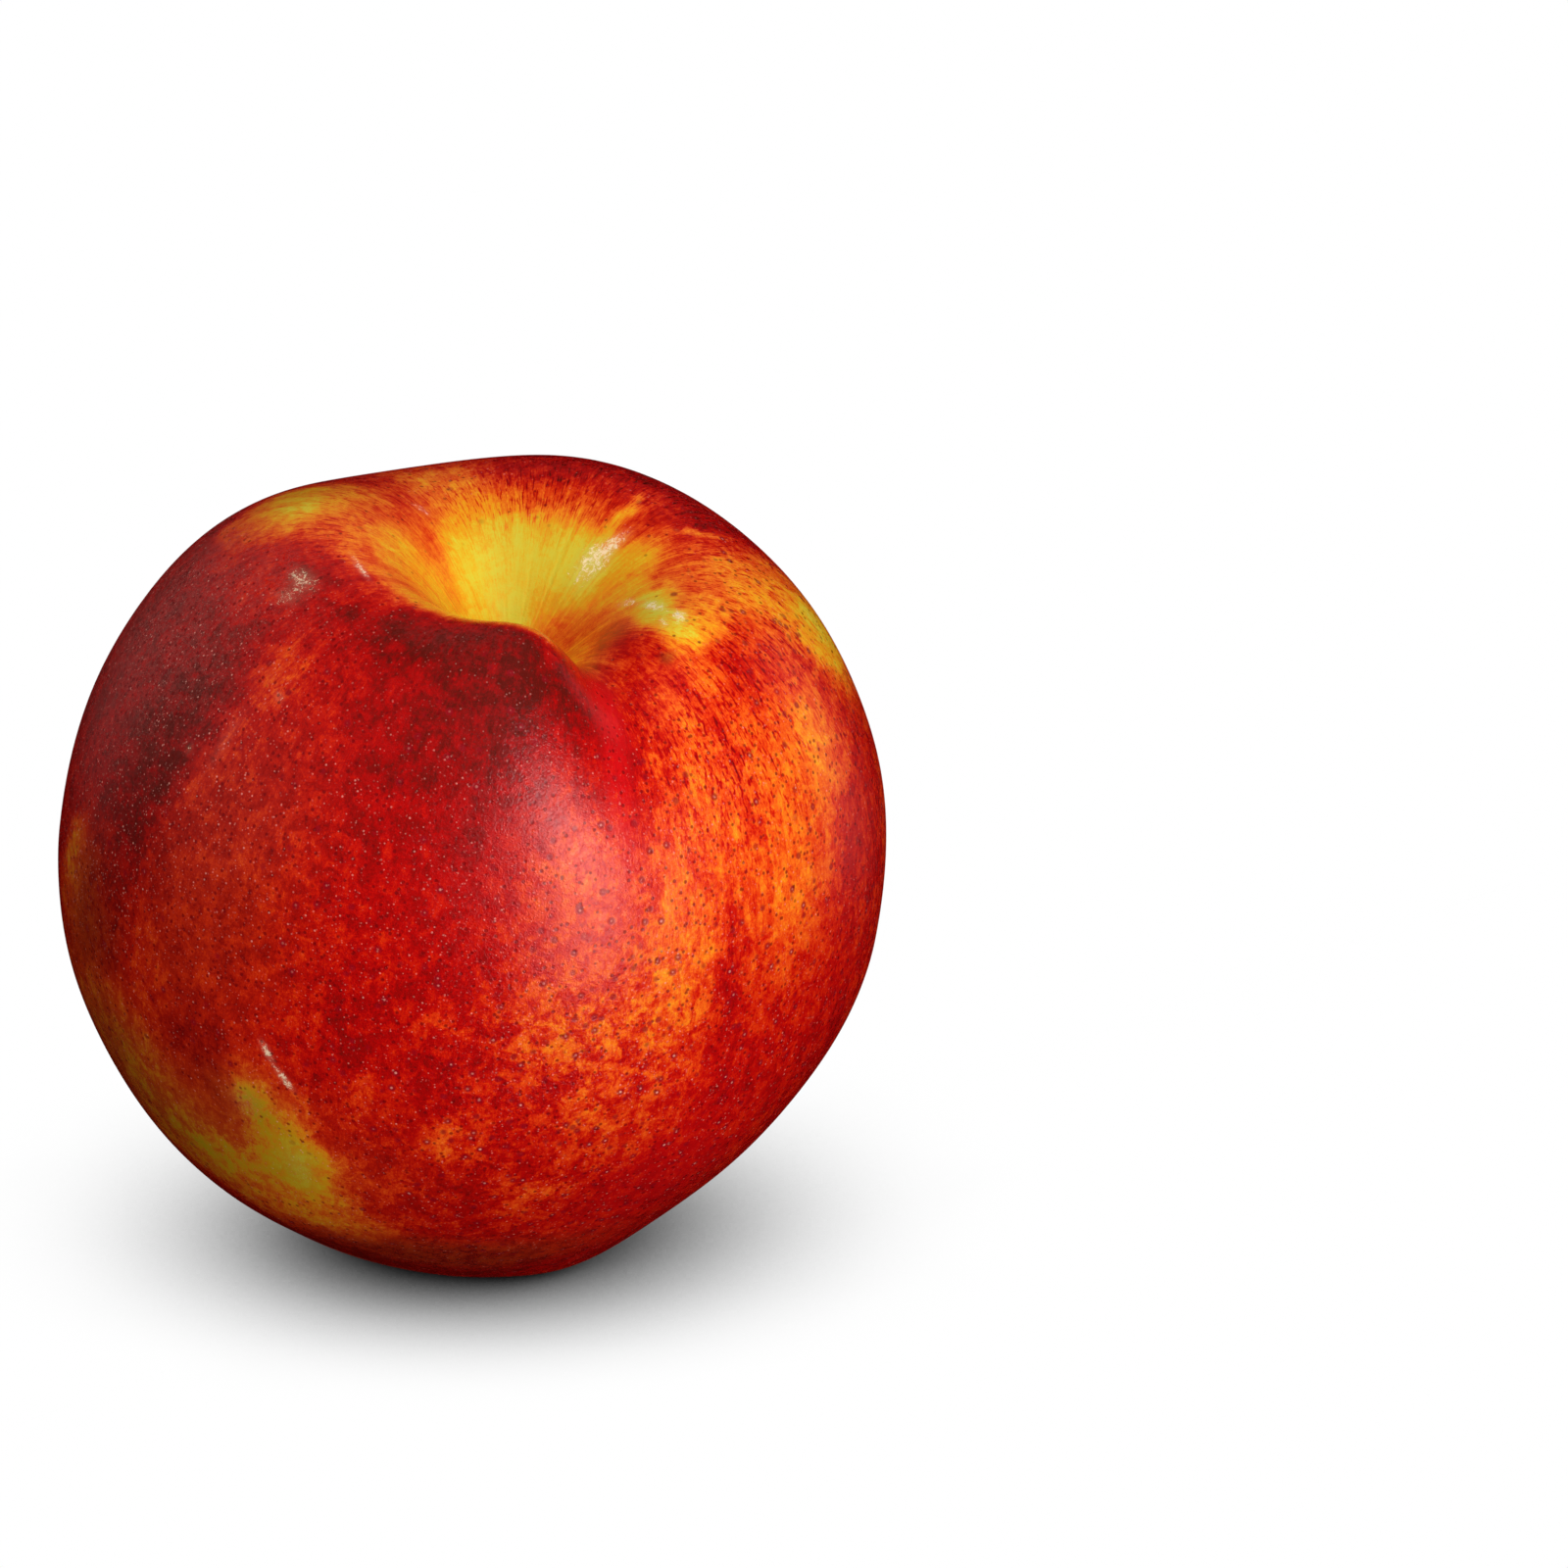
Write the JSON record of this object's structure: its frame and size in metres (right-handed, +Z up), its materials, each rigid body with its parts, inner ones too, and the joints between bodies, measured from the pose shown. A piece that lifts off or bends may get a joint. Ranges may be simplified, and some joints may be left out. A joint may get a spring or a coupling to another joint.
{
  "type": "nectarine",
  "caption": "Whole ripe nectarine with smooth red and yellow skin, a stalk cavity and a suture, resting on its underside.",
  "frame": {"origin": "on the surface the fruit rests on, under the middle of its bounding box", "axes": "+Z up; +X to the viewer's right and -Y towards the viewer when the fruit is seen as it usually shows, with the stalk cavity leaning to the front right"},
  "size_m": [0.0756, 0.0742, 0.0746],
  "materials": {
    "skin": "smooth, hairless fruit skin with a soft waxy gloss: deep red, breaking into orange and yellow streaks around the stalk cavity"
  },
  "bodies": {
    "root": {"nectarine": "skin"}
  },
  "joints": []
}
